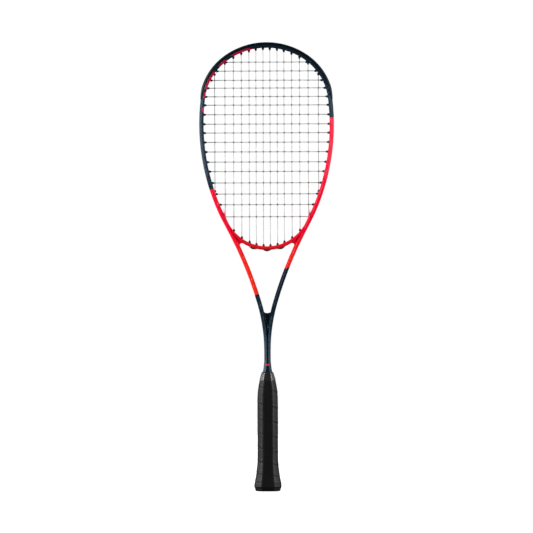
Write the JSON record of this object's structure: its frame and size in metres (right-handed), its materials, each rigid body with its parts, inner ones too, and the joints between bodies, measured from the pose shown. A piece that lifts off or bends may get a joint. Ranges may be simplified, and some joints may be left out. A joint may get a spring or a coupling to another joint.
{
  "type": "squash racket",
  "caption": "Squash racket with an open throat: teardrop hoop on two slim shafts, woven string bed, black head guard, wrapped octagonal handle with flared butt.",
  "frame": {"origin": "centre of the flat end face of the butt", "axes": "+Z runs from the butt to the crown of the head along the racket; +X runs to the right across the string bed as seen from the front; the front string face looks along -Y"},
  "size_m": [0.2062, 0.0364, 0.6858],
  "materials": {
    "paint_carbon": "gloss clear-coated paint over moulded carbon, navy with red sections",
    "web_paint": "gloss dark paint",
    "bridge_paint": "gloss red paint",
    "foam": "rigid moulded foam",
    "nylon_black": "moulded nylon, satin",
    "string": "multifilament string with a clear coating",
    "grip": "soft polyurethane grip tape, fine grain",
    "tape": "stretch tape",
    "cap": "moulded plastic, satin",
    "steel": "bright staple wire",
    "plug": "moulded plastic"
  },
  "bodies": {
    "root": {"frame_tube": "paint_carbon", "throat_bridge": "bridge_paint", "bridge_core": "foam", "shaft_web": "web_paint", "bumper_guard": "nylon_black", "grommet_strip_left": "nylon_black", "grommet_strip_right": "nylon_black", "grommet_strip_bridge": "nylon_black", "main_string": "string", "cross_string": "string", "pallet_front": "foam", "pallet_back": "foam", "butt_cap": "cap", "butt_cap_staples": "steel", "grip_wrap": "grip", "finishing_tape": "tape", "stem_plug": "plug"}
  },
  "joints": []
}
